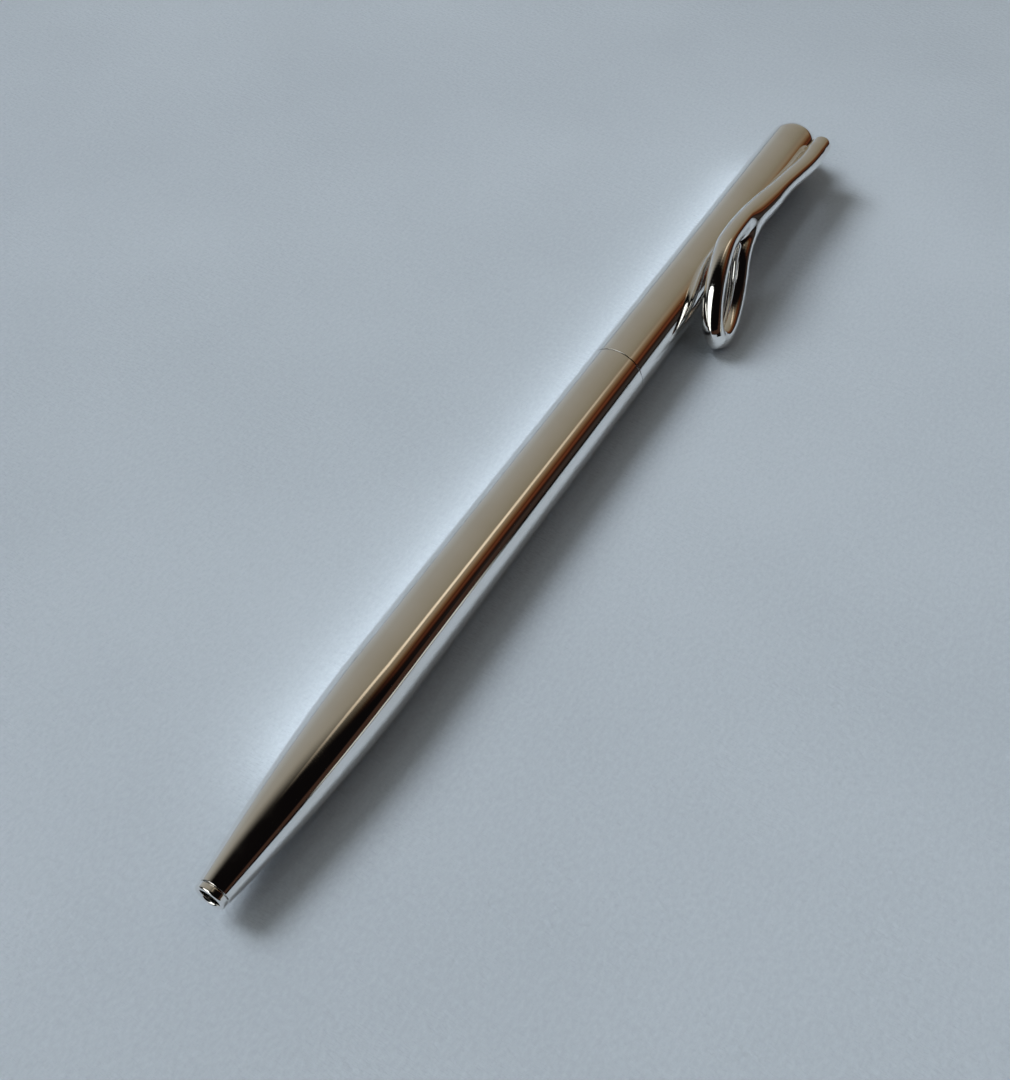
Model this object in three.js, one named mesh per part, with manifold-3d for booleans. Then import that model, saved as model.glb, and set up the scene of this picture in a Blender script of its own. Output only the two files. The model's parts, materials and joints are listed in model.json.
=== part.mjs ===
// Slim twist-action pen with a rod clip that ends in an open teardrop loop.
//
// Millimetres, +Z up. The pen lies on its side: its axis runs along X, the nose points to -X,
// and the clip leans out to -Y until its loop reaches the table. The origin is on the table
// line, under the axis, halfway along the pen.
// Below, "station" means the distance from the front of the nose ring, measured along the axis.

import * as THREE from 'three';
import { mergeVertices } from 'three/addons/utils/BufferGeometryUtils.js';
import Module from 'manifold-3d';

const wasm = await Module();
wasm.setup();

// ---------------------------------------------------------------- driving dimensions
const overallLength = 137.8;
const barrelDiameter = 7.5;
const barrelWall = 0.65;
const seamStation = 79.2;          // parting line between the two barrels
const seamGap = 0.1;
const domeHeight = 3.7;

const noseDiameter = 3.5;
const taperLength = 26.45;
const taperFullness = 1.72;        // 1 is a straight cone, 2 a parabola
const noseBore = 2.8;
const noseBoreLength = 13.15;
const middleBore = 4.9;
const middleBoreLength = 10;

const ringLength = 0.75;
const ringDiameter = 3.3;
const ringHole = 2.3;
const ringGroove = 0.1;
const ringSpigotLength = 3;

const ballDiameter = 0.7;
const ballShowing = 0.25;
const pointSetback = 2.2;          // ball behind the nose ring while the point is retracted
const pointConeLength = 3;
const pointNeckDiameter = 2.2;
const pointTailLength = 3;         // pressed into the refill tube
const socketLip = 0.1;
const refillTubeStation = 26;
const refillDiameter = 3.0;
const refillWall = 0.3;
const inkHeadroom = 8.9;           // empty tube between the ink and the plug
const plugFlange = 2;
const plugSpigotLength = 4;
const plugStudDiameter = 1.9;
const plugStudLength = 4;

const pointTravel = 5;
const twistAngle = Math.PI;
const pinDiameter = 0.7;
const pinSetback = 23.8;           // drive pin behind the seam
const pinInCarrier = 8.5;          // and behind the carrier's front face
const carrierLength = 13;

const guideClearance = 0.25;       // between the refill and the guide tube
const guideWall = 0.3;
const guideLength = 28;
const guideSeat = 6;               // how deep the guide tube sits in the centre bush
const camWall = 0.4;
const camLength = 22.4;
const retainerLength = 3;
const linerLength = 46;
const washerThickness = 0.4;
const bushLength = 13;
const bushStubLength = 10.8;
const noseBushLength = 3;
const sealSection = 0.4;
const sealSetback = 2.4;           // seal's centre behind the seam

const springWire = 0.3;
const springTurns = 6;

const clipRodDiameter = 2.9;
const clipBarDiameter = 2.7;       // the two limbs that form the loop
const clipGap = 0.31;              // between the rod and the barrel it lies along
const clipEndInset = 5.0;          // rod's round end, back from the top of the dome
const clipNeckInset = 6.8;
const clipNeckDiameter = 2.4;
const clipTenonDiameter = 1.4;
const clipTenonDepth = 1.3;        // below the barrel's surface
const clipTurn = 30.9;             // where the rod leaves the barrel, degrees up from its side
const anchorLength = 5;
const lockScrewDiameter = 2;
const lockScrewLength = 6;
const driverSlotWidth = 0.5;

// The routes of the rod and of the start of each limb, round the barrel:
// [distance in front of the rod's round end, extra turn in degrees].
const rodRoute = [[0, 0], [4.5, 0.4], [10, 7.6], [15, 15]];
const innerRoute = [[10, 7.6], [15, 15], [18.6, 21]];
const outerRoute = [[10, 5.7], [13, 7.9], [16, 10], [19, 11.9], [21.5, 13.2]];
const forkRoute = [22, 19.4];      // the loop's point
const innerStart = 0.34;           // where each limb leaves its route, as a share of its sweep
const outerStart = 0.36;
const loopLength = 18.8;
const loopHalfWidth = 2.77;
const loopPoint = 0.78;            // how sharp the loop's point is: 0 makes it an ellipse
const loopBow = 3.1;               // how far the loop's middle line bows towards the barrel
const loopBowReach = 7.3;
const loopBowPower = 1.5;
const loopReach = 4.1;             // loop's low corner, sideways from the barrel's side
const loopFall = 14.1;             // and how far it lies in front of the fork
const loopDip = 0.5;               // how far the line to it aims below the table's clearance
const loopRoll = 151.4 * Math.PI / 180;

const pressGap = 0.05;             // between pieces that are pressed or screwed together
const runningGap = 0.05;           // between pieces that turn or slide on each other
const endGap = 0.1;                // between faces that meet end to end
const facets = 24;

// ---------------------------------------------------------------- derived sizes
const barrelRadius = barrelDiameter / 2;
const barrelBoreRadius = barrelRadius - barrelWall;
const noseRadius = noseDiameter / 2;
const shellStation = ringLength + ringGroove;
const taperEnd = shellStation + taperLength;
const middleBoreStation = shellStation + noseBoreLength;
const fullBoreStation = middleBoreStation + middleBoreLength;
const refillRadius = refillDiameter / 2;
const refillBoreRadius = refillRadius - refillWall;
const pinStation = seamStation + pinSetback;
const carrierStation = pinStation - pinInCarrier;
const plugEnd = carrierStation - 4 * endGap;
const refillTubeEnd = plugEnd - plugFlange - endGap;
const pointNeckRadius = pointNeckDiameter / 2;
const ballRadius = ballDiameter / 2;
const ballStation = pointSetback + ballRadius;
const pinRadius = pinDiameter / 2;

const guideBoreRadius = refillRadius + guideClearance;
const guideRadius = guideBoreRadius + guideWall;
const carrierRadius = guideBoreRadius - runningGap;
const camBoreRadius = guideRadius + 2 * runningGap;
const camRadius = camBoreRadius + camWall;
const linerBoreRadius = camRadius + pressGap;
const linerRadius = barrelBoreRadius - pressGap;
const bushEnd = seamStation + bushStubLength;
const guideStation = bushEnd - guideSeat;
const guideEnd = guideStation + guideLength;
const camStation = bushEnd + washerThickness + 2 * endGap;
const camEnd = camStation + camLength;
const upperShellStation = seamStation + seamGap;
const linerStation = upperShellStation + endGap;
const clipLine = barrelRadius + clipGap + clipRodDiameter / 2;
const clipEndStation = overallLength - clipEndInset;
const clipNeckStation = overallLength - clipNeckInset;

// ---------------------------------------------------------------- geometry helpers
// Every turned piece has the same facets in the same phase, with one flat facet facing down.
// Radii are measured to the flats, so nested pieces keep their clearance all round.
const flatScale = 1 / Math.cos(Math.PI / facets);

function closedGeometry(geometry) {
  const bare = geometry.clone();
  bare.deleteAttribute('normal');
  bare.deleteAttribute('uv');
  const merged = mergeVertices(bare, 1e-5);
  const source = merged.index.array;
  const kept = [];
  for (let i = 0; i < source.length; i += 3) {
    const [a, b, c] = [source[i], source[i + 1], source[i + 2]];
    if (a !== b && b !== c && c !== a) {
      kept.push(a, b, c);
    }
  }
  merged.setIndex(kept);
  if (signedVolume(merged) < 0) {
    for (let i = 0; i < kept.length; i += 3) {
      [kept[i], kept[i + 1]] = [kept[i + 1], kept[i]];
    }
    merged.setIndex(kept);
  }
  return merged;
}

function signedVolume(geometry) {
  const corners = [new THREE.Vector3(), new THREE.Vector3(), new THREE.Vector3()];
  const { position } = geometry.attributes;
  const index = geometry.index.array;
  let volume = 0;
  for (let i = 0; i < index.length; i += 3) {
    corners.forEach((corner, k) => corner.fromBufferAttribute(position, index[i + k]));
    volume += corners[0].dot(corners[1].cross(corners[2])) / 6;
  }
  return volume;
}

function solidFrom(geometry) {
  const closed = closedGeometry(geometry);
  return new wasm.Manifold(new wasm.Mesh({
    numProp: 3,
    vertProperties: new Float32Array(closed.attributes.position.array),
    triVerts: new Uint32Array(closed.index.array),
  }));
}

function geometryFrom(solid) {
  const mesh = solid.getMesh();
  const geometry = new THREE.BufferGeometry();
  geometry.setAttribute('position', new THREE.BufferAttribute(mesh.vertProperties, 3));
  geometry.setIndex(new THREE.BufferAttribute(mesh.triVerts, 1));
  return geometry;
}

function join(...geometries) {
  const solids = geometries.map(solidFrom);
  return geometryFrom(solids.reduce((sum, next) => sum.add(next)));
}

function cut(body, ...cutters) {
  return geometryFrom(cutters.map(solidFrom).reduce((left, next) => left.subtract(next), solidFrom(body)));
}

// A solid of revolution about the pen's axis. The profile is a list of [station, radius],
// and either closes on itself or starts and ends on the axis.
function turned(profile) {
  const points = profile.map(([station, radius]) => new THREE.Vector2(radius * flatScale, station));
  const lathe = new THREE.LatheGeometry(points, facets, Math.PI / facets, 2 * Math.PI);
  lathe.rotateZ(-Math.PI / 2);
  return closedGeometry(lathe);
}

function sleeve(start, end, outerRadius, innerRadius) {
  return turned([
    [start, innerRadius], [start, outerRadius], [end, outerRadius], [end, innerRadius], [start, innerRadius],
  ]);
}

function rod(start, end, radius) {
  return turned([[start, 0], [start, radius], [end, radius], [end, 0]]);
}

// A round bar along a curve. ends adds a ball at [first, last].
function bar(curve, radius, steps, sides, ends = [false, false]) {
  const section = new THREE.Shape();
  section.absarc(0, 0, radius, 0, 2 * Math.PI);
  const tube = new THREE.ExtrudeGeometry(section, { steps, curveSegments: sides / 2, extrudePath: curve });
  const balls = [0, 1].filter((k) => ends[k]).map((k) => {
    const ball = new THREE.SphereGeometry(radius * 0.998, sides, sides / 2);
    const centre = curve.getPoint(k);
    return ball.translate(centre.x, centre.y, centre.z);
  });
  return balls.length ? join(tube, ...balls) : closedGeometry(tube);
}

// ---------------------------------------------------------------- the nose and lower barrel
function taperRadius(station) {
  const share = (taperEnd - station) / taperLength;
  return barrelRadius - (barrelRadius - noseRadius) * share ** taperFullness;
}

function lowerBarrel() {
  const taperSteps = 8;
  const outside = [];
  for (let i = 0; i <= taperSteps; i += 1) {
    const station = shellStation + taperLength * i / taperSteps;
    outside.push([station, taperRadius(station)]);
  }
  return turned([
    [shellStation, noseBore / 2],
    ...outside,
    [seamStation, barrelRadius],
    [seamStation, barrelBoreRadius],
    [fullBoreStation, barrelBoreRadius],
    [fullBoreStation, middleBore / 2],
    [middleBoreStation, middleBore / 2],
    [middleBoreStation, noseBore / 2],
    [shellStation, noseBore / 2],
  ]);
}

function tipRing() {
  const lipSteps = 6;
  const holeRadius = ringHole / 2;
  const spigotRadius = noseBore / 2 - pressGap;
  const lipRadius = (ringDiameter / 2 - holeRadius) / 2;
  const lipCentre = holeRadius + lipRadius;
  const profile = [[ringLength + ringSpigotLength, holeRadius]];
  for (let i = 0; i <= lipSteps; i += 1) {
    const angle = Math.PI * i / lipSteps;
    profile.push([lipRadius - lipRadius * Math.sin(angle), lipCentre - lipRadius * Math.cos(angle)]);
  }
  profile.push(
    [ringLength, ringDiameter / 2],
    [ringLength, spigotRadius],
    [ringLength + ringSpigotLength, spigotRadius],
    [ringLength + ringSpigotLength, holeRadius],
  );
  return turned(profile);
}

function noseBush() {
  const start = middleBoreStation + endGap;
  return sleeve(start, start + noseBushLength, middleBore / 2 - pressGap, pointNeckRadius + 2 * runningGap);
}

function returnSpring() {
  const start = middleBoreStation + endGap + noseBushLength + endGap + springWire / 2;
  const end = refillTubeStation - endGap - springWire / 2;
  const meanRadius = (refillBoreRadius + refillRadius) / 2 + springWire / 3;
  const turnsPath = new THREE.Curve();
  turnsPath.getPoint = (t, target = new THREE.Vector3()) => {
    const angle = 2 * Math.PI * springTurns * t;
    return target.set(start + (end - start) * t, meanRadius * Math.cos(angle), meanRadius * Math.sin(angle));
  };
  return bar(turnsPath, springWire / 2, springTurns * 12, 6);
}

// ---------------------------------------------------------------- the twist mechanism
function centreBush() {
  const bore = guideBoreRadius;
  const stubRadius = linerBoreRadius - runningGap;
  const sealStation = seamStation + sealSetback;
  const grooveHalf = sealSection / 2 + endGap;
  const grooveRadius = stubRadius - sealSection - pressGap;
  return turned([
    [seamStation - bushLength, bore],
    [seamStation - bushLength, barrelBoreRadius - pressGap],
    [seamStation - endGap, barrelBoreRadius - pressGap],
    [seamStation - endGap, stubRadius],
    [sealStation - grooveHalf, stubRadius],
    [sealStation - grooveHalf, grooveRadius],
    [sealStation + grooveHalf, grooveRadius],
    [sealStation + grooveHalf, stubRadius],
    [bushEnd, stubRadius],
    [bushEnd, guideRadius + pressGap],
    [guideStation - endGap, guideRadius + pressGap],
    [guideStation - endGap, bore],
    [seamStation - bushLength, bore],
  ]);
}

function frictionRing() {
  const sectionRadius = sealSection / 2;
  const centreRadius = linerBoreRadius - runningGap - sectionRadius;
  const sides = 8;
  const profile = [];
  for (let i = 0; i <= sides; i += 1) {
    const angle = 2 * Math.PI * i / sides;
    profile.push([
      seamStation + sealSetback + sectionRadius * Math.sin(angle),
      centreRadius + sectionRadius * Math.cos(angle),
    ]);
  }
  return turned(profile);
}

const slotWidth = pinDiameter + 4 * runningGap;

function guideTube() {
  const tube = sleeve(guideStation, guideEnd, guideRadius, guideBoreRadius);
  const slotLength = pointTravel + slotWidth;
  const slot = new THREE.BoxGeometry(slotLength, 4 * guideRadius, slotWidth);
  slot.translate(pinStation - pointTravel / 2, 0, 0);
  return cut(tube, slot);
}

// A band that follows the drive pin round the cam sleeve as the sleeve turns.
function helicalSlot(startAngle) {
  const margin = slotWidth / 2 / camRadius;
  const band = new THREE.BoxGeometry(1, 1, 1, 24, 1, 1);
  const { position } = band.attributes;
  for (let i = 0; i < position.count; i += 1) {
    const turn = (position.getX(i) + 0.5) * (twistAngle + 2 * margin) - margin;
    const radius = camBoreRadius - camWall + (position.getY(i) + 0.5) * 3 * camWall;
    const station = pinStation - pointTravel * turn / twistAngle + position.getZ(i) * slotWidth;
    const angle = startAngle + turn;
    position.setXYZ(i, station, radius * Math.cos(angle), radius * Math.sin(angle));
  }
  return band;
}

function camSleeve() {
  const blank = sleeve(camStation, camEnd, camRadius, camBoreRadius);
  return cut(blank, helicalSlot(0), helicalSlot(Math.PI));
}

function camRetainer() {
  return sleeve(camEnd + endGap, camEnd + endGap + retainerLength, camRadius, camBoreRadius / 4);
}

function thrustWasher() {
  const start = bushEnd + endGap;
  return sleeve(start, start + washerThickness, camRadius, guideRadius + pressGap);
}

function drivePin() {
  const pin = new THREE.CylinderGeometry(pinRadius, pinRadius, 2 * (camRadius - 2 * runningGap), 12);
  return closedGeometry(pin.translate(pinStation, 0, 0));
}

function refillCarrier() {
  const body = turned([
    [carrierStation, plugStudDiameter / 2 + pressGap],
    [carrierStation, carrierRadius],
    [carrierStation + carrierLength, carrierRadius],
    [carrierStation + carrierLength, 0],
    [plugEnd + plugStudLength + endGap, 0],
    [plugEnd + plugStudLength + endGap, plugStudDiameter / 2 + pressGap],
    [carrierStation, plugStudDiameter / 2 + pressGap],
  ]);
  const holeRadius = pinRadius + pressGap;
  const hole = new THREE.CylinderGeometry(holeRadius, holeRadius, 4 * carrierRadius, 12);
  return cut(body, hole.translate(pinStation, 0, 0));
}

// ---------------------------------------------------------------- the refill
function pointHousing() {
  const front = pointSetback + ballShowing;
  const socketRadius = ballRadius + runningGap;
  const feedRadius = ballRadius / 2;
  const inkPassage = pointNeckRadius / 2;
  const neckStation = front + pointConeLength;
  const socketEnd = pointSetback + ballDiameter + runningGap;
  const tailEnd = refillTubeStation + pointTailLength;
  return turned([
    [front, socketRadius],
    [front, socketRadius + socketLip],
    [neckStation, pointNeckRadius],
    [refillTubeStation - endGap, pointNeckRadius],
    [refillTubeStation - endGap, refillBoreRadius - pressGap],
    [tailEnd, refillBoreRadius - pressGap],
    [tailEnd, inkPassage],
    [neckStation, inkPassage],
    [neckStation - 1, feedRadius],
    [socketEnd, feedRadius],
    [socketEnd, socketRadius],
    [front, socketRadius],
  ]);
}

function ball() {
  const sphere = new THREE.SphereGeometry(ballRadius, 16, 10);
  return closedGeometry(sphere.translate(ballStation, 0, 0));
}

function refillTube() {
  return sleeve(refillTubeStation, refillTubeEnd, refillRadius, refillBoreRadius);
}

function inkFill() {
  const start = refillTubeStation + pointTailLength + endGap;
  const end = refillTubeEnd - plugSpigotLength - inkHeadroom;
  return rod(start, end, refillBoreRadius - pressGap);
}

function refillPlug() {
  const flangeStart = refillTubeEnd + endGap;
  const flangeMiddle = flangeStart + plugFlange / 2;
  const spigot = rod(refillTubeEnd - plugSpigotLength, flangeMiddle, refillBoreRadius - pressGap);
  const flange = rod(flangeStart, plugEnd, refillRadius);
  const stud = rod(flangeMiddle, plugEnd + plugStudLength, plugStudDiameter / 2);
  return join(spigot, flange, stud);
}

// ---------------------------------------------------------------- the upper barrel and clip
function radialPin(radius, from, to) {
  const pin = new THREE.CylinderGeometry(radius, radius, to - from, 16);
  pin.translate(0, (from + to) / 2, 0);
  pin.rotateX(Math.PI - clipTurn * Math.PI / 180);
  return pin.translate(clipNeckStation, 0, 0);
}

function upperBarrel() {
  const domeSteps = 6;
  const domeStart = overallLength - domeHeight;
  const outside = [];
  for (let i = 0; i < domeSteps; i += 1) {
    const angle = Math.PI / 2 * i / domeSteps;
    outside.push([domeStart + domeHeight * Math.sin(angle), barrelRadius * Math.cos(angle)]);
  }
  outside.push([overallLength, 0]);
  const shell = turned([
    [upperShellStation, barrelBoreRadius],
    [upperShellStation, barrelRadius],
    ...outside,
    [domeStart + domeHeight / 3, 0],
    [domeStart, barrelBoreRadius],
    [upperShellStation, barrelBoreRadius],
  ]);
  const tenonHole = radialPin(clipTenonDiameter / 2 + 2 * runningGap, 1, barrelDiameter);
  return cut(shell, tenonHole);
}

function upperLiner() {
  return sleeve(linerStation, linerStation + linerLength, linerRadius, linerBoreRadius);
}

function clipAnchor() {
  const start = clipNeckStation - anchorLength / 2;
  const ring = sleeve(start, start + anchorLength, linerRadius, lockScrewDiameter / 2 + pressGap);
  return cut(ring, radialPin(clipTenonDiameter / 2 + 2 * runningGap, 1.5, barrelDiameter));
}

function clipLockScrew() {
  const end = clipNeckStation + anchorLength / 2;
  const screw = rod(end - lockScrewLength, end, lockScrewDiameter / 2);
  const driverSlot = new THREE.BoxGeometry(2 * driverSlotWidth, 4 * lockScrewDiameter, driverSlotWidth);
  return cut(screw, driverSlot.translate(end, 0, 0));
}

// A point on the cylinder that the clip's middle line follows round the barrel.
function onRoute([back, extraTurn]) {
  const angle = (clipTurn + extraTurn) * Math.PI / 180;
  return new THREE.Vector3(
    clipEndStation - back, -clipLine * Math.cos(angle), clipLine * Math.sin(angle));
}

// The loop lies in a plane that runs from its point down to the table.
function loopPlane() {
  const fork = onRoute(forkRoute);
  const low = new THREE.Vector3(
    fork.x - loopFall, -barrelRadius - loopReach, -barrelRadius + clipBarDiameter / 2 - loopDip);
  const along = low.sub(fork).normalize();
  const upright = new THREE.Vector3(0, 0, 1).addScaledVector(along, -along.z).normalize();
  const across = upright.applyAxisAngle(along, -loopRoll);
  return { fork, along, across };
}

// One limb of the teardrop: side is -1 for the limb beside the barrel and 1 for the outer one.
function limbCurve(side, route, start) {
  const { fork, along, across } = loopPlane();
  const fullest = 0.81;            // the largest value of sin(a) * sin(a / 2) ** loopPoint
  const steps = 12;
  const points = route.map(onRoute);
  for (let i = 0; i <= steps; i += 1) {
    const angle = Math.PI * (start + (1 - start) * i / steps);
    const reach = loopLength * (1 - Math.cos(angle)) / 2;
    const halfWidth = loopHalfWidth / fullest * Math.sin(angle) * Math.sin(angle / 2) ** loopPoint;
    const bowShare = Math.min(1, reach / loopBowReach);
    const bow = loopBow * Math.sin(bowShare * Math.PI / 2) ** loopBowPower;
    points.push(fork.clone().addScaledVector(along, reach).addScaledVector(across, side * halfWidth - bow));
  }
  return new THREE.CatmullRomCurve3(points);
}

function clip() {
  const sides = 10;
  const limbRadius = clipBarDiameter / 2;
  const rodCurve = new THREE.CatmullRomCurve3(rodRoute.map(onRoute));
  const shaft = bar(rodCurve, clipRodDiameter / 2, 16, sides, [true, true]);
  const innerLimb = bar(limbCurve(-1, innerRoute, innerStart), limbRadius, 26, sides, [true, true]);
  const outerLimb = bar(limbCurve(1, outerRoute, outerStart), limbRadius, 26, sides, [true, true]);
  const neck = radialPin(clipNeckDiameter / 2, barrelRadius + endGap, clipLine);
  const tenon = radialPin(clipTenonDiameter / 2, barrelRadius - clipTenonDepth, clipLine);
  return join(shaft, innerLimb, outerLimb, neck, tenon);
}

// ---------------------------------------------------------------- assembly
const finishes = {
  silver: { color: 0xd8d6d0, metalness: 1, roughness: 0.08 },
  brass: { color: 0xc9a04e, metalness: 1, roughness: 0.3 },
  steel: { color: 0xb4b6b8, metalness: 1, roughness: 0.22 },
  acetal: { color: 0xe9e7df, metalness: 0, roughness: 0.45 },
  rubber: { color: 0x1d1d1f, metalness: 0, roughness: 0.7 },
  ink: { color: 0x10162e, metalness: 0, roughness: 0.3 },
};

const pieces = [
  ['lower_barrel', lowerBarrel(), 'silver'],
  ['tip_ring', tipRing(), 'silver'],
  ['nose_bush', noseBush(), 'brass'],
  ['return_spring', returnSpring(), 'steel'],
  ['centre_bush', centreBush(), 'brass'],
  ['friction_ring', frictionRing(), 'rubber'],
  ['guide_tube', guideTube(), 'brass'],
  ['thrust_washer', thrustWasher(), 'acetal'],
  ['upper_barrel', upperBarrel(), 'silver'],
  ['upper_liner', upperLiner(), 'brass'],
  ['cam_sleeve', camSleeve(), 'acetal'],
  ['cam_retainer', camRetainer(), 'acetal'],
  ['clip_anchor', clipAnchor(), 'brass'],
  ['clip_lock_screw', clipLockScrew(), 'steel'],
  ['clip', clip(), 'silver'],
  ['refill_carrier', refillCarrier(), 'acetal'],
  ['drive_pin', drivePin(), 'steel'],
  ['refill_plug', refillPlug(), 'acetal'],
  ['refill_tube', refillTube(), 'brass'],
  ['ink_fill', inkFill(), 'ink'],
  ['point_housing', pointHousing(), 'steel'],
  ['ball', ball(), 'steel'],
];

const pen = new THREE.Group();
pen.position.set(-overallLength / 2, 0, barrelRadius);
for (const [name, geometry, finish] of pieces) {
  const mesh = new THREE.Mesh(geometry, new THREE.MeshStandardMaterial(finishes[finish]));
  mesh.name = name;
  pen.add(mesh);
}

export default pen;
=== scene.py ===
"""Looks for the twist-action pen: polished silver on a pale cloth, in soft window light.

The pen lies along X with its nose at -X, on a floor at z = 0, with its clip on the -Y side.
Shapes are worked out in millimetres and turned into metres when a mesh is made.
"""
import json
import math

import bmesh
import bpy
import numpy as np
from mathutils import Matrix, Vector


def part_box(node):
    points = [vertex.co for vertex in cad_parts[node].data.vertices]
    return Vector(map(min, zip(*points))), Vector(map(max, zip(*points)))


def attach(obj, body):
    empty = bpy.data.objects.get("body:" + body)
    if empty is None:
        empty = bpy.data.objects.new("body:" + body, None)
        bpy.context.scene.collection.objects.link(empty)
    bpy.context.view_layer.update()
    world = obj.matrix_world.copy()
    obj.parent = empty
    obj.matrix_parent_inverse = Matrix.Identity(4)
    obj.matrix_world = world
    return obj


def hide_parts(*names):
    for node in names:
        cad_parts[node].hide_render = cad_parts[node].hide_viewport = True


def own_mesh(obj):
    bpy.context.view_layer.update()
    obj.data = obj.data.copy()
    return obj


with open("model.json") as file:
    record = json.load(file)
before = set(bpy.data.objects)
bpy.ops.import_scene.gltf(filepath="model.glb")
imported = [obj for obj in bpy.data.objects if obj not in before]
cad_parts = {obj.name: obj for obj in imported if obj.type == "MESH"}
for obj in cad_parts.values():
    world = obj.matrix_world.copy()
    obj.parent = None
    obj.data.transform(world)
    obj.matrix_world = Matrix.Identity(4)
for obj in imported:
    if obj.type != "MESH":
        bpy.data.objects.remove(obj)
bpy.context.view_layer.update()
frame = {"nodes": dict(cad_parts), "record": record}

MM = 0.001


# ------------------------------------------------------------------ sizes taken from the frame
def span(node, axis):
    low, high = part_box(node)
    return low[axis] / MM, high[axis] / MM


SHELL_START, SEAM = span("lower_barrel", 0)
UPPER_START, TOP = span("upper_barrel", 0)
RING_START, RING_SPIGOT_END = span("tip_ring", 0)
BARREL_RADIUS = (span("upper_barrel", 1)[1] - span("upper_barrel", 1)[0]) / 2
RING_RADIUS = (span("tip_ring", 1)[1] - span("tip_ring", 1)[0]) / 2
AXIS_HEIGHT = sum(span("upper_barrel", 2)) / 2
BALL_CENTRE = sum(span("ball", 0)) / 2
BALL_RADIUS = (span("ball", 0)[1] - span("ball", 0)[0]) / 2
POINT_START, POINT_END = span("point_housing", 0)
TAIL_RADIUS = (span("point_housing", 1)[1] - span("point_housing", 1)[0]) / 2

# ------------------------------------------------------------------ sizes the boxes don't give
NOSE_RADIUS = 1.75
NOSE_BORE = 1.4
TAPER_LENGTH = 26.45
TAPER_FULLNESS = 1.72
WALL = 0.65
RING_LENGTH = 0.75
RING_HOLE = 1.15
DOME_HEIGHT = 3.7
POINT_CONE = 3.0
POINT_NECK = 1.1           # runs through the nose ring
POINT_TAIL_LENGTH = 3.1    # the wider end inside the refill tube
SPRING_WIRE = 0.3
SPRING_TURNS = 6
SPRING_STEPS = 48          # to a turn
SPRING_SIDES = 12
EDGE = 0.05                # rounding on a turned edge
SHELL_BORE_DEPTH = 14      # the nose bore's length in the front shell
SHELL_STEP_RADIUS = 2.3    # where it opens towards the full bore

CLIP_ROD = 1.45
CLIP_BAR = 1.35
CLIP_GAP = 0.31            # between the rod and the barrel
CLIP_LINE = BARREL_RADIUS + CLIP_GAP + CLIP_ROD
CLIP_TURN = 30.9           # degrees up from the clip's side
CLIP_END = TOP - 5.0
CLIP_NECK = TOP - 6.8
# routes round the barrel: (distance in front of the rod's round end, extra turn in degrees)
INNER_ROUTE = ((0, 0), (4.5, 0.4), (10, 7.6), (15, 15), (18.6, 21))
OUTER_ROUTE = ((10, 5.7), (13, 7.9), (16, 10), (19, 11.9), (21.5, 13.2))
FORK = (22, 19.4)
INNER_START = 0.34
OUTER_START = 0.36
LOOP_LENGTH = 18.8
LOOP_HALF_WIDTH = 2.77
LOOP_POINT = 0.78
LOOP_BOW = 3.1
LOOP_BOW_REACH = 7.3
LOOP_BOW_POWER = 1.5
LOOP_FULLEST = 0.81        # the largest value of sin(a) * sin(a / 2) ** LOOP_POINT
LOOP_REACH = 4.1           # sideways from the barrel's side
LOOP_FALL = 14.1
LOOP_DIP = 0.5
LOOP_ROLL = math.radians(151.4)
CROTCH_FILLET = 1.1        # deepest between the limbs, just in front of the fork
ROD_FILLET = 0.5
FILLET_PLACES = (-6, -1, 2, 4, 9)      # in front of the fork
FILLET_REACHES = (ROD_FILLET, 1.0, CROTCH_FILLET, CROTCH_FILLET, 0.02)
NECK_FILLET = 0.8
NECK_END_GAP = 0.9         # from the barrel's surface to the centre of the neck's round end
NECK_RADII = (1.0, 0.85)   # the neck at the rod, and at the barrel
ROD_THINS = (10, 15)       # along the rod, from its own size to the limb's
OUTER_SWELLS = (0, 6)      # along the outer limb, from its buried start to its full size
CLIP_VOXEL = 0.12
CLIP_STEP_LIMIT = 0.3      # how far one pass may move a point of the melted surface
CLIP_PASSES = 6

ROUND = 256                # facets round a barrel


# ------------------------------------------------------------------ mesh helpers
def new_object(name, points_mm, faces, material, smooth=True):
    mesh = bpy.data.meshes.new(name)
    mesh.from_pydata([tuple(point) for point in np.asarray(points_mm) * MM], [], faces)
    mesh.validate()
    if smooth:
        mesh.shade_smooth()
    mesh.materials.append(material)
    piece = bpy.data.objects.new(name, mesh)
    bpy.context.collection.objects.link(piece)
    return piece


def filleted(profile, radius=EDGE, steps=4):
    """Rounds each corner of an open or closed [station, radius] outline with a small arc."""
    closed = profile[0] == profile[-1]
    points = [np.array(point, float) for point in (profile[:-1] if closed else profile)]
    count = len(points)
    result = []
    for i, corner in enumerate(points):
        if not closed and i in (0, count - 1):
            result.append(corner)
            continue
        before, after = points[i - 1], points[(i + 1) % count]
        into, out = corner - before, after - corner
        length_in, length_out = np.linalg.norm(into), np.linalg.norm(out)
        into, out = into / length_in, out / length_out
        if into @ out > 0.97:
            result.append(corner)
            continue
        reach = min(radius, 0.4 * length_in, 0.4 * length_out)
        start, end = corner - into * reach, corner + out * reach
        for k in range(steps + 1):
            t = k / steps
            result.append((1 - t) ** 2 * start + 2 * t * (1 - t) * corner + t ** 2 * end)
    if closed:
        result.append(result[0])
    return result


def densified(points, longest=1.5, hold=0.04):
    """Splits long straight stretches, and holds the shading with a ring close to each end."""
    result = [points[0]]
    for start, end in zip(points[:-1], points[1:]):
        length = np.linalg.norm(end - start)
        if length > 4 * hold:
            inner = max(1, int(length / longest))
            stops = [hold / length] + [k / inner for k in range(1, inner)] + [1 - hold / length]
            result.extend(start + (end - start) * stop for stop in stops)
        result.append(end)
    return result


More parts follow.
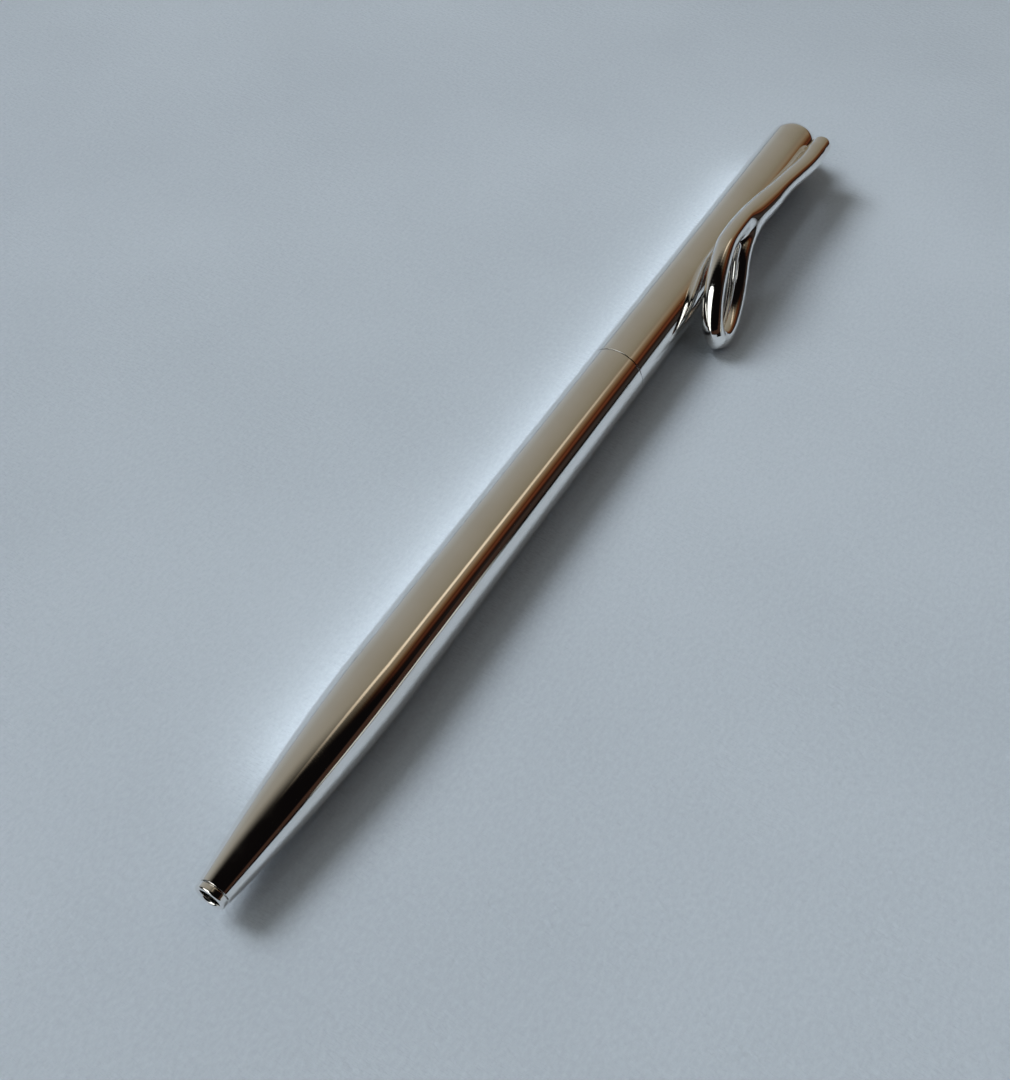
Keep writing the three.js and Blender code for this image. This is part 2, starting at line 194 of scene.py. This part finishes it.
def turned(name, profile, material, corner=EDGE, segments=ROUND):
    """A solid of revolution about the pen's axis from a [station, radius] outline."""
    outline = densified(filleted(profile, corner))
    closed = np.allclose(outline[0], outline[-1])
    if closed:
        outline = outline[:-1]
    points, rings = [], []
    for station, radius in outline:
        if radius < 1e-6:
            rings.append([len(points)] * segments)
            points.append((station, 0, AXIS_HEIGHT))
            continue
        rings.append(list(range(len(points), len(points) + segments)))
        for k in range(segments):
            angle = 2 * math.pi * k / segments
            points.append((station, radius * math.cos(angle), AXIS_HEIGHT + radius * math.sin(angle)))
    faces = []
    pairs = list(zip(rings, rings[1:] + rings[:1])) if closed else list(zip(rings[:-1], rings[1:]))
    for ring, after in pairs:
        for k in range(segments):
            j = (k + 1) % segments
            corners = [ring[k], ring[j], after[j], after[k]]
            face = [c for i, c in enumerate(corners) if c != corners[i - 1]]
            if len(face) > 2:
                faces.append(face)
    piece = new_object(name, points, faces, material)
    outward(piece)
    return piece


def outward(piece):
    """Turns every face outwards."""
    work = bmesh.new()
    work.from_mesh(piece.data)
    bmesh.ops.recalc_face_normals(work, faces=work.faces)
    if work.calc_volume(signed=True) < 0:
        bmesh.ops.reverse_faces(work, faces=work.faces)
    work.to_mesh(piece.data)
    work.free()


def stand_for(piece, body, slot, *nodes):
    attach(piece, body)
    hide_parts(*nodes)
    return piece


# ------------------------------------------------------------------ material helpers
class Nodes:
    """A material's node tree, with short calls for the nodes used here."""

    def __init__(self, name):
        self.material = bpy.data.materials.new(name)
        self.material.use_nodes = True
        self.tree = self.material.node_tree
        self.shader = self.tree.nodes["Principled BSDF"]
        place = self.tree.nodes.new("ShaderNodeTexCoord")
        self.place = place.outputs["Object"]

    def link(self, source, target):
        self.tree.links.new(source, target)

    def stretched(self, scale):
        node = self.tree.nodes.new("ShaderNodeMapping")
        node.inputs["Scale"].default_value = scale
        self.link(self.place, node.inputs["Vector"])
        return node.outputs["Vector"]

    def noise(self, scale, detail=3, roughness=0.5, vector=None):
        node = self.tree.nodes.new("ShaderNodeTexNoise")
        node.inputs["Scale"].default_value = scale
        node.inputs["Detail"].default_value = detail
        node.inputs["Roughness"].default_value = roughness
        self.link(vector or self.place, node.inputs["Vector"])
        return node.outputs["Fac"]

    def remap(self, value, low, high, to_low, to_high):
        node = self.tree.nodes.new("ShaderNodeMapRange")
        node.inputs["From Min"].default_value = low
        node.inputs["From Max"].default_value = high
        node.inputs["To Min"].default_value = to_low
        node.inputs["To Max"].default_value = to_high
        self.link(value, node.inputs["Value"])
        return node.outputs["Result"]

    def math(self, operation, a, b):
        node = self.tree.nodes.new("ShaderNodeMath")
        node.operation = operation
        for socket, value in zip(node.inputs, (a, b)):
            if isinstance(value, (int, float)):
                socket.default_value = value
            else:
                self.link(value, socket)
        return node.outputs[0]

    def blend_colour(self, factor, first, second):
        node = self.tree.nodes.new("ShaderNodeMix")
        node.data_type = "RGBA"
        self.link(factor, node.inputs["Factor"])
        node.inputs["A"].default_value = (*first, 1)
        node.inputs["B"].default_value = (*second, 1)
        return node.outputs["Result"]

    def bump(self, height, distance, strength=1.0, below=None):
        node = self.tree.nodes.new("ShaderNodeBump")
        node.inputs["Strength"].default_value = strength
        node.inputs["Distance"].default_value = distance
        self.link(height, node.inputs["Height"])
        if below is not None:
            self.link(below, node.inputs["Normal"])
        return node.outputs["Normal"]


def polished_silver():
    """Mirror-polished silver: handling smudges, fine wipe marks and a trace of warm tarnish."""
    nodes = Nodes("polished_silver")
    shader = nodes.shader
    shader.inputs["Metallic"].default_value = 1.0
    tarnish = nodes.remap(nodes.noise(130, 4), 0.4, 0.75, 0, 1)
    nodes.link(nodes.blend_colour(tarnish, (0.93, 0.92, 0.905), (0.88, 0.855, 0.815)),
               shader.inputs["Base Color"])
    smudge = nodes.remap(nodes.noise(260, 5, 0.6), 0.45, 0.75, 0.0, 0.07)
    wipes = nodes.noise(1, 4, 0.65, nodes.stretched((500, 9000, 9000)))
    wipe_gloss = nodes.remap(wipes, 0.45, 0.8, 0.0, 0.05)
    gloss = nodes.math("ADD", nodes.math("ADD", smudge, wipe_gloss), 0.035)
    nodes.link(gloss, shader.inputs["Roughness"])
    rings = nodes.noise(1, 3, 0.5, nodes.stretched((16000, 260, 260)))
    waviness = nodes.noise(95, 1)
    normal = nodes.bump(rings, 0.0000007)
    normal = nodes.bump(wipes, 0.0000008, below=normal)
    normal = nodes.bump(waviness, 0.000004, below=normal)
    nodes.link(normal, shader.inputs["Normal"])
    return nodes.material


def turned_metal(name, light, dark, roughness, tool_mark=9000):
    """A turned metal: fine tool marks round the axis, and patchy dulling."""
    nodes = Nodes(name)
    shader = nodes.shader
    shader.inputs["Metallic"].default_value = 1.0
    patch = nodes.remap(nodes.noise(700, 4), 0.35, 0.7, 0, 1)
    nodes.link(nodes.blend_colour(patch, light, dark), shader.inputs["Base Color"])
    marks = nodes.noise(1, 3, 0.55, nodes.stretched((tool_mark, 120, 120)))
    nodes.link(nodes.remap(marks, 0.3, 0.75, roughness * 0.75, roughness * 1.3),
               shader.inputs["Roughness"])
    nodes.link(nodes.bump(marks, 0.000002), shader.inputs["Normal"])
    return nodes.material


def moulded_plastic(name, light, dark, roughness, grain=0.000004):
    """A moulded plastic: faint mottling and a fine satin grain."""
    nodes = Nodes(name)
    shader = nodes.shader
    mottling = nodes.remap(nodes.noise(900, 3), 0.35, 0.7, 0, 1)
    nodes.link(nodes.blend_colour(mottling, light, dark), shader.inputs["Base Color"])
    texture = nodes.noise(9000, 2)
    nodes.link(nodes.remap(texture, 0.3, 0.7, roughness * 0.85, roughness * 1.15),
               shader.inputs["Roughness"])
    nodes.link(nodes.bump(texture, grain), shader.inputs["Normal"])
    return nodes.material


MATERIALS = {
    "silver": polished_silver(),
    "brass": turned_metal("turned_brass", (0.83, 0.63, 0.30), (0.66, 0.46, 0.20), 0.26),
    "steel": turned_metal("drawn_steel", (0.66, 0.67, 0.68), (0.50, 0.51, 0.53), 0.24),
    "point_steel": turned_metal("point_steel", (0.72, 0.72, 0.71), (0.58, 0.57, 0.55), 0.16, 14000),
    "acetal": moulded_plastic("acetal", (0.86, 0.85, 0.80), (0.80, 0.79, 0.73), 0.42),
    "rubber": moulded_plastic("nitrile_rubber", (0.022, 0.022, 0.024), (0.035, 0.034, 0.034), 0.62),
    "ink": moulded_plastic("ink", (0.006, 0.010, 0.045), (0.010, 0.016, 0.070), 0.12, 0.0000005),
}


def dress_cad_nodes():
    slots = {row["node"]: row["material_slot"] for row in frame["record"]["subparts"]}
    for node, cad_object in frame["nodes"].items():
        cad_object.data.materials.clear()
        cad_object.data.materials.append(MATERIALS[slots[node]])


# ------------------------------------------------------------------ barrels, ring and point
def taper_radius(station):
    share = (SHELL_START + TAPER_LENGTH - station) / TAPER_LENGTH
    return BARREL_RADIUS - (BARREL_RADIUS - NOSE_RADIUS) * max(0, share) ** TAPER_FULLNESS


def make_lower_barrel():
    outside = [(station, taper_radius(station))
               for station in np.linspace(SHELL_START, SHELL_START + TAPER_LENGTH, 60)]
    profile = [
        (SHELL_START, NOSE_BORE),
        *outside,
        (SEAM, BARREL_RADIUS),
        (SEAM, BARREL_RADIUS - WALL),
        (SHELL_START + 1.6 * SHELL_BORE_DEPTH, BARREL_RADIUS - WALL),
        (SHELL_START + SHELL_BORE_DEPTH, SHELL_STEP_RADIUS),
        (SHELL_START + SHELL_BORE_DEPTH, NOSE_BORE),
        (SHELL_START, NOSE_BORE),
    ]
    piece = turned("barrel_front", profile, MATERIALS["silver"])
    return stand_for(piece, "lower_barrel", "silver", "lower_barrel")


def make_upper_barrel():
    dome_start = TOP - DOME_HEIGHT
    arc = [(dome_start + DOME_HEIGHT * math.sin(a), BARREL_RADIUS * math.cos(a))
           for a in np.linspace(0, math.pi / 2, 40)[:-1]]
    inner = [(dome_start + (DOME_HEIGHT - WALL) * math.sin(a), (BARREL_RADIUS - WALL) * math.cos(a))
             for a in np.linspace(math.pi / 2, 0, 16)[1:]]
    profile = [
        (TOP, 0),
        *reversed(arc),
        (UPPER_START, BARREL_RADIUS),
        (UPPER_START, BARREL_RADIUS - WALL),
        *reversed(inner),
        (TOP - WALL, 0),
    ]
    piece = turned("barrel_rear", profile, MATERIALS["silver"])
    return stand_for(piece, "upper_barrel", "silver", "upper_barrel")


def make_tip_ring():
    lip_radius = (RING_RADIUS - RING_HOLE) / 2
    lip_centre = RING_HOLE + lip_radius
    lip = [(RING_START + lip_radius * (1 - math.sin(a)), lip_centre - lip_radius * math.cos(a))
           for a in np.linspace(0, math.pi, 24)]
    ring_end = RING_START + RING_LENGTH
    profile = [
        (RING_SPIGOT_END, RING_HOLE),
        *lip,
        (ring_end, RING_RADIUS),
        (ring_end, NOSE_BORE - 0.05),
        (RING_SPIGOT_END, NOSE_BORE - 0.05),
        (RING_SPIGOT_END, RING_HOLE),
    ]
    piece = turned("nose_ring", profile, MATERIALS["silver"], segments=160)
    return stand_for(piece, "lower_barrel", "silver", "tip_ring")


def make_point():
    socket = BALL_RADIUS + 0.02
    rim = socket + 0.07
    neck_start = POINT_START + POINT_CONE
    profile = [
        (POINT_START, socket),
        (POINT_START, rim),
        (POINT_START + 0.9, rim + 0.16),
        (neck_start, POINT_NECK),
        (POINT_END - POINT_TAIL_LENGTH, POINT_NECK),
        (POINT_END - POINT_TAIL_LENGTH, TAIL_RADIUS),
        (POINT_END, TAIL_RADIUS),
        (POINT_END, POINT_NECK / 2),
        (neck_start, POINT_NECK / 2),
        (neck_start - 1, BALL_RADIUS / 2),
        (BALL_CENTRE + BALL_RADIUS, BALL_RADIUS / 2),
        (BALL_CENTRE + BALL_RADIUS, socket),
        (POINT_START, socket),
    ]
    piece = turned("writing_point", profile, MATERIALS["point_steel"], corner=0.02, segments=128)
    return stand_for(piece, "refill", "point_steel", "point_housing")


def make_ball():
    profile = [(BALL_CENTRE - BALL_RADIUS * math.cos(a), BALL_RADIUS * math.sin(a))
               for a in np.linspace(0, math.pi, 40)]
    profile[0], profile[-1] = (profile[0][0], 0), (profile[-1][0], 0)
    piece = turned("writing_ball", profile, MATERIALS["point_steel"], segments=80)
    return stand_for(piece, "ball", "point_steel", "ball")


# ------------------------------------------------------------------ the clip
def around_axis(station, turn, distance):
    angle = math.radians(turn)
    return np.array([station, -distance * math.cos(angle), AXIS_HEIGHT + distance * math.sin(angle)])


def smooth_path(points, steps=12):
    """A smooth curve through points, with its speed set by the gaps between them."""
    points = np.asarray(points, float)
    gaps = np.linalg.norm(np.diff(points, axis=0), axis=1)
    knots = np.concatenate([[0], np.cumsum(gaps)])
    slopes = np.gradient(points, knots, axis=0)
    path = []
    for i, gap in enumerate(gaps):
        for t in np.linspace(0, 1, steps, endpoint=False):
            path.append(
                (2 * t ** 3 - 3 * t ** 2 + 1) * points[i] + (t ** 3 - 2 * t ** 2 + t) * gap * slopes[i]
                + (3 * t ** 2 - 2 * t ** 3) * points[i + 1] + (t ** 3 - t ** 2) * gap * slopes[i + 1])
    path.append(points[-1])
    return np.array(path)


def evened(path, spacing=0.4, passes=5):
    """Points at even spacing along a path, eased so that it has no kinks."""
    lengths = distances_along(path)
    stops = np.linspace(0, lengths[-1], int(lengths[-1] / spacing))
    eased = np.stack([np.interp(stops, lengths, path[:, axis]) for axis in range(3)], axis=1)
    for _ in range(passes):
        eased[1:-1] = (eased[:-2] + 2 * eased[1:-1] + eased[2:]) / 4
    return eased


def distances_along(path):
    return np.concatenate([[0], np.cumsum(np.linalg.norm(np.diff(path, axis=0), axis=1))])


def rotated(vector, axis, angle):
    return (vector * math.cos(angle) + np.cross(axis, vector) * math.sin(angle)
            + axis * (axis @ vector) * (1 - math.cos(angle)))


def on_route(step):
    back, extra_turn = step
    return around_axis(CLIP_END - back, CLIP_TURN + extra_turn, CLIP_LINE)


def limb_path(side, route, start):
    """A bar along its route, then round one side of the teardrop: -1 is beside the barrel."""
    fork = on_route(FORK)
    low_height = AXIS_HEIGHT - BARREL_RADIUS + CLIP_BAR - LOOP_DIP
    low = np.array([fork[0] - LOOP_FALL, -BARREL_RADIUS - LOOP_REACH, low_height])
    along = (low - fork) / np.linalg.norm(low - fork)
    upright = np.array([0, 0, 1.0]) - along * along[2]
    across = rotated(upright / np.linalg.norm(upright), along, -LOOP_ROLL)
    points = [on_route(step) for step in route]
    for angle in np.linspace(start * math.pi, math.pi, 13):
        reach = LOOP_LENGTH * (1 - math.cos(angle)) / 2
        half_width = LOOP_HALF_WIDTH / LOOP_FULLEST * math.sin(angle) * math.sin(angle / 2) ** LOOP_POINT
        bow = LOOP_BOW * math.sin(min(1, reach / LOOP_BOW_REACH) * math.pi / 2) ** LOOP_BOW_POWER
        points.append(fork + along * reach + across * (side * half_width - bow))
    return evened(smooth_path(points))


def distance_to_bar(points, path, radii):
    """Distance from each point to a bar's surface, and the direction away from its middle line."""
    best = np.full(len(points), np.inf)
    away = np.zeros_like(points)
    for start, end, radius_a, radius_b in zip(path[:-1], path[1:], radii[:-1], radii[1:]):
        step = end - start
        share = np.clip((points - start) @ step / (step @ step), 0, 1)
        offset = points - (start + share[:, None] * step)
        length = np.linalg.norm(offset, axis=1)
        surface = length - (radius_a + (radius_b - radius_a) * share)
        nearer = surface < best
        best[nearer] = surface[nearer]
        away[nearer] = offset[nearer] / length[nearer, None]
    return best, away


def melted(first, second, reach):
    """Joins two (distance, direction) fields with a fillet of about reach, which may vary."""
    mix = np.clip(0.5 + 0.5 * (second[0] - first[0]) / reach, 0, 1)
    distance = second[0] * (1 - mix) + first[0] * mix - reach * mix * (1 - mix)
    return distance, second[1] * (1 - mix[:, None]) + first[1] * mix[:, None]


def clip_bars():
    inner = limb_path(-1, INNER_ROUTE, INNER_START)
    outer = limb_path(1, OUTER_ROUTE, OUTER_START)
    neck = np.array([around_axis(CLIP_NECK, CLIP_TURN, distance)
                     for distance in (CLIP_LINE, BARREL_RADIUS + NECK_END_GAP)])
    inner_radii = np.interp(distances_along(inner), ROD_THINS, [CLIP_ROD, CLIP_BAR])
    outer_radii = np.interp(distances_along(outer), OUTER_SWELLS, [0.6 * CLIP_BAR, CLIP_BAR])
    return (inner, inner_radii), (outer, outer_radii), (neck, np.array(NECK_RADII))


def clip_field(points):
    inner, outer, neck = [distance_to_bar(points, *one) for one in clip_bars()]
    forward = (CLIP_END - FORK[0]) - points[:, 0]
    fillet = np.interp(forward, FILLET_PLACES, FILLET_REACHES)
    return melted(melted(inner, outer, fillet), neck, NECK_FILLET)


def round_ended(path, radii):
    """The same bar with two shrinking rings past each end, close to a half ball."""
    for _ in range(2):
        ahead = (path[-1] - path[-2]) / np.linalg.norm(path[-1] - path[-2])
        end, radius = path[-1], radii[-1]
        path = np.vstack([path, end + 0.5 * radius * ahead, end + 0.85 * radius * ahead])[::-1]
        radii = np.concatenate([radii, [0.85 * radius, 0.5 * radius]])[::-1]
    return path, radii


def bar_mesh(path, radii, sides=16):
    """A plain closed tube round a path, with round ends."""
    path, radii = round_ended(path, radii)
    tangent = np.gradient(path, axis=0)
    tangent /= np.linalg.norm(tangent, axis=1)[:, None]
    side = np.cross(tangent[0], [0.3, 0.5, 0.8])
    points, faces = [], []
    for centre, ahead, radius in zip(path, tangent, radii):
        side = side - ahead * (ahead @ side)
        side /= np.linalg.norm(side)
        up = np.cross(ahead, side)
        for k in range(sides):
            angle = 2 * math.pi * k / sides
            points.append(centre + radius * (math.cos(angle) * side + math.sin(angle) * up))
    for i in range(len(path) - 1):
        for k in range(sides):
            j = (k + 1) % sides
            faces.append((i * sides + k, i * sides + j, (i + 1) * sides + j, (i + 1) * sides + k))
    faces.append(tuple(reversed(range(sides))))
    faces.append(tuple(range((len(path) - 1) * sides, len(path) * sides)))
    return points, faces


def make_spring():
    """The return spring, as a coil of one fixed length; the real spring shortens towards its front end
    as the point comes out.
    """
    low, high = span("return_spring", 0)
    wire = SPRING_WIRE / 2
    reach = (span("return_spring", 1)[1] - span("return_spring", 1)[0]) / 2 - wire
    turns = np.linspace(0, 2 * math.pi * SPRING_TURNS, SPRING_TURNS * SPRING_STEPS + 1)
    stations = np.linspace(low + wire, high - wire, len(turns))
    path = np.stack([stations, reach * np.cos(turns), AXIS_HEIGHT + reach * np.sin(turns)], axis=1)
    points, faces = bar_mesh(path, np.full(len(path), wire), SPRING_SIDES)
    piece = new_object("coil_spring", points, faces, MATERIALS["steel"])
    outward(piece)
    stand_for(piece, "lower_barrel", "steel", "return_spring")
    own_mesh(piece)


def make_clip():
    points, faces = [], []
    for path, radii in clip_bars():
        bar_points, bar_faces = bar_mesh(path, radii)
        faces.extend(tuple(len(points) + corner for corner in face) for face in bar_faces)
        points.extend(bar_points)
    rough = bpy.data.meshes.new("clip_rough")
    rough.from_pydata([tuple(point) for point in points], [], faces)
    holder = bpy.data.objects.new("clip_rough", rough)
    bpy.context.collection.objects.link(holder)
    remesh = holder.modifiers.new("voxels", "REMESH")
    remesh.mode = "VOXEL"
    remesh.voxel_size = CLIP_VOXEL
    evaluated = holder.evaluated_get(bpy.context.evaluated_depsgraph_get())
    mesh = bpy.data.meshes.new_from_object(evaluated)
    bpy.data.objects.remove(holder)
    bpy.data.meshes.remove(rough)

    flat = np.empty(len(mesh.vertices) * 3)
    mesh.vertices.foreach_get("co", flat)
    surface = flat.reshape(-1, 3)
    for _ in range(CLIP_PASSES):
        distance, away = clip_field(surface)
        steepness = np.maximum((away ** 2).sum(1), 0.2)
        move = np.clip(distance / steepness, -CLIP_STEP_LIMIT, CLIP_STEP_LIMIT)
        surface = surface - move[:, None] * away
    distance, away = clip_field(surface)
    normals = away / np.linalg.norm(away, axis=1)[:, None]
    mesh.vertices.foreach_set("co", (surface * MM).ravel())
    mesh.shade_smooth()
    mesh.normals_split_custom_set_from_vertices([tuple(normal) for normal in normals])
    mesh.materials.clear()
    mesh.materials.append(MATERIALS["silver"])
    mesh.name = "pocket_clip"
    piece = bpy.data.objects.new("pocket_clip", mesh)
    bpy.context.collection.objects.link(piece)
    return stand_for(piece, "clip", "silver", "clip")


# ------------------------------------------------------------------ floor, light and camera
def srgb(red, green, blue):
    """Linear colour from 0-255 display values."""
    return tuple(((value / 255 + 0.055) / 1.055) ** 2.4 for value in (red, green, blue))


def make_floor():
    """A pale woven cloth with faint creases."""
    nodes = Nodes("pale_cloth")
    shader = nodes.shader
    soft = nodes.noise(22, 3)
    speckle = nodes.noise(1, 2, 0.6, nodes.stretched((1500, 2300, 1500)))
    tone = nodes.remap(nodes.math("ADD", soft, speckle), 0.75, 1.25, 0, 1)
    nodes.link(nodes.blend_colour(tone, (0.315, 0.355, 0.402), (0.352, 0.395, 0.446)),
               shader.inputs["Base Color"])
    shader.inputs["Roughness"].default_value = 0.9
    shader.inputs["Specular IOR Level"].default_value = 0.15
    slant = nodes.tree.nodes.new("ShaderNodeMapping")
    slant.inputs["Rotation"].default_value = (0, 0, math.radians(33))
    slant.inputs["Scale"].default_value = (1900, 1050, 1000)
    nodes.link(nodes.place, slant.inputs["Vector"])
    weave = nodes.noise(1, 2, 0.5, slant.outputs["Vector"])
    cords = nodes.noise(1, 1, 0.5, nodes.stretched((3200, 1100, 900)))
    height = nodes.math("ADD", nodes.math("MULTIPLY", weave, 0.7), nodes.math("MULTIPLY", cords, 0.5))
    normal = nodes.bump(height, 0.00022, 0.75)
    creases = nodes.noise(14, 2)
    nodes.link(nodes.bump(creases, 0.0016, 0.35, below=normal), shader.inputs["Normal"])
    reach = FLOOR_HALF_WIDTH / MM
    corners = [(-reach, -reach, 0), (reach, -reach, 0), (reach, reach, 0), (-reach, reach, 0)]
    floor = new_object("floor", corners, [(0, 1, 2, 3)], nodes.material, smooth=False)


# What the silver mirrors, by angle round the pen's axis: 0 is level on the clip's side, 90 is
# straight up and 180 is level on the far side.
SURROUNDINGS = (
    (-180, srgb(120, 128, 138)),
    (-2, srgb(84, 90, 92)),
    (3, srgb(40, 44, 42)),
    (8, srgb(22, 22, 20)),
    (20, srgb(52, 46, 42)),
    (31, srgb(34, 18, 12)),
    (38, srgb(96, 52, 32)),
    (43, srgb(70, 34, 18)),
    (50, srgb(108, 78, 50)),
    (58, srgb(128, 112, 90)),
    (66, srgb(124, 113, 95)),
    (73, srgb(129, 121, 103)),
    (90, srgb(135, 128, 113)),
    (112, srgb(140, 134, 121)),
    (147, srgb(146, 143, 134)),
    (172, srgb(158, 160, 158)),
    (180, srgb(165, 170, 174)),
)
FLOOR_HALF_WIDTH = 2.5     # metres
WINDOW_POWER = 50.0
ROOM_POWER = 3.0
GLOW_POWER = 0.0028
FIGURE_LEAN = 0.26         # how the figure's edge leans, per radian round the pen
FIGURE_EDGE = 0.42
FIGURE_BLUR = 0.12


def make_world():
    world = bpy.data.worlds.new("room")
    bpy.context.scene.world = world
    world.use_nodes = True
    tree = world.node_tree
    background = tree.nodes["Background"]

    def maths(operation, a, b=0.0, c=0.0):
        node = tree.nodes.new("ShaderNodeMath")
        node.operation = operation
        for socket, value in zip(node.inputs, (a, b, c)):
            if isinstance(value, (int, float)):
                socket.default_value = value
            else:
                tree.links.new(value, socket)
        return node.outputs[0]

    def smooth_step(value, low, high):
        node = tree.nodes.new("ShaderNodeMapRange")
        node.interpolation_type = "SMOOTHSTEP"
        node.inputs["From Min"].default_value = low
        node.inputs["From Max"].default_value = high
        tree.links.new(value, node.inputs["Value"])
        return node.outputs["Result"]

    def mix_value(factor, first, second):
        node = tree.nodes.new("ShaderNodeMix")
        for name, value in (("Factor", factor), ("A", first), ("B", second)):
            tree.links.new(value, node.inputs[name])
        return node.outputs["Result"]

    def mix(factor, first, second):
        node = tree.nodes.new("ShaderNodeMix")
        node.data_type = "RGBA"
        tree.links.new(factor, node.inputs["Factor"])
        for name, value in (("A", first), ("B", second)):
            if isinstance(value, tuple):
                node.inputs[name].default_value = (*value, 1)
            else:
                tree.links.new(value, node.inputs[name])
        return node.outputs["Result"]

    def band(value, centre, half_width, edge):
        off = maths("ABSOLUTE", maths("SUBTRACT", value, centre))
        return smooth_step(maths("MULTIPLY", off, -1.0), -half_width - edge, -half_width)

    direction = tree.nodes.new("ShaderNodeTexCoord")
    split = tree.nodes.new("ShaderNodeSeparateXYZ")
    tree.links.new(direction.outputs["Generated"], split.inputs[0])
    along, sideways, up = split.outputs
    turn = maths("ARCTAN2", up, maths("MULTIPLY", sideways, -1.0))
    slanted = maths("MULTIPLY_ADD", maths("SUBTRACT", along, 0.5), 0.9, turn)
    ramp = tree.nodes.new("ShaderNodeValToRGB")
    stops = ramp.color_ramp.elements
    while len(stops) < len(SURROUNDINGS):
        stops.new(0.5)
    for stop, (angle, colour) in zip(stops, SURROUNDINGS):
        stop.position = (angle + 180) / 360
        stop.color = (*colour, 1)
    above = smooth_step(turn, math.radians(20), math.radians(80))
    aim = mix_value(above, slanted, turn)
    tree.links.new(maths("MULTIPLY_ADD", aim, 1 / (2 * math.pi), 0.5), ramp.inputs["Fac"])

    # the bright ledge fades towards the far end of the pen
    ledge = band(slanted, math.radians(67), math.radians(1.5), math.radians(4))
    fading = smooth_step(maths("MULTIPLY", along, -1.0), -0.72, -0.54)
    shown = mix(maths("MULTIPLY", ledge, fading), ramp.outputs["Color"], srgb(232, 214, 186))

    # a dark figure stands on the nose side of the pen, its sleeve a little lighter
    lean = maths("MULTIPLY_ADD", maths("SUBTRACT", turn, math.radians(46)), FIGURE_LEAN, along)
    clear_of_figure = smooth_step(lean, FIGURE_EDGE - FIGURE_BLUR, FIGURE_EDGE + FIGURE_BLUR)
    figure = mix(band(turn, math.radians(14), math.radians(4), math.radians(5)),
                 srgb(10, 8, 8), srgb(58, 40, 32))
    shown = mix(clear_of_figure, figure, shown)

    # a low bright sill on the clip's side, and a bright window up behind the nose
    sill = maths("MULTIPLY", band(turn, math.radians(3), math.radians(1.0), math.radians(2.5)),
                 band(along, 0.36, 0.13, 0.06))
    shown = mix(sill, shown, srgb(196, 196, 188))
    window = maths("MULTIPLY", band(turn, math.radians(122), math.radians(22), math.radians(4)),
                   band(along, -0.62, 0.36, 0.05))
    shown = mix(window, shown, (1.7, 1.75, 1.7))
    tree.links.new(shown, background.inputs["Color"])
    background.inputs["Strength"].default_value = 1.0


def make_light(name, kind, place, aim, power, colour, **shape):
    """A light that brightens the cloth but isn't itself mirrored in the silver."""
    data = bpy.data.lights.new(name, kind)
    data.energy = power
    data.color = colour
    for setting, value in shape.items():
        setattr(data, setting, value)
    light = bpy.data.objects.new(name, data)
    light.location = place
    light.rotation_euler = (Vector(aim) - Vector(place)).to_track_quat("-Z", "Y").to_euler()
    light.visible_glossy = False
    bpy.context.collection.objects.link(light)


def make_lights():
    """A soft window beyond the far side, a dim room above, and a thin lamp beside the barrel.

    The thin lamp stands in for the light that the barrel throws back onto the cloth.
    """
    make_light("window_light", "SPOT", (-0.02, 0.40, 0.42), (-0.005, -0.005, 0), WINDOW_POWER,
               (0.94, 0.98, 1.0), shadow_soft_size=0.24, spot_size=math.radians(36), spot_blend=1.0)
    make_light("room_light", "AREA", (0.2, -0.5, 1.3), (0, 0, 0), ROOM_POWER,
               (1.0, 0.97, 0.94), shape="SQUARE", size=1.2)
    side = BARREL_RADIUS * 1.1 * MM
    make_light("barrel_glow", "AREA", (0.004, side, 0.0045), (0.004, side + 0.0001, 0), GLOW_POWER,
               (0.95, 0.99, 1.0), shape="RECTANGLE", size=0.118, size_y=0.001)


def make_camera():
    """The camera looks from the nose end, down at 51 degrees, with no roll."""
    heading, fall, focal = math.radians(59.33), math.radians(50.95), 43.33
    data = bpy.data.cameras.new("camera")
    data.lens = focal
    data.sensor_width = 36
    data.clip_start = 0.01
    camera = bpy.data.objects.new("camera", data)
    level = math.cos(fall)
    forward = Vector((math.sin(heading) * level, math.cos(heading) * level, -math.sin(fall)))
    camera.location = Vector((-97.2, -47.9, 115.36)) * MM
    camera.rotation_euler = forward.to_track_quat("-Z", "Y").to_euler()
    bpy.context.collection.objects.link(camera)
    bpy.context.scene.camera = camera


make_camera()
make_world()
make_floor()
make_lights()
bpy.context.scene.view_settings.view_transform = "Standard"

dress_cad_nodes()
make_lower_barrel()
make_upper_barrel()
make_tip_ring()
make_point()
make_ball()
make_spring()
make_clip()
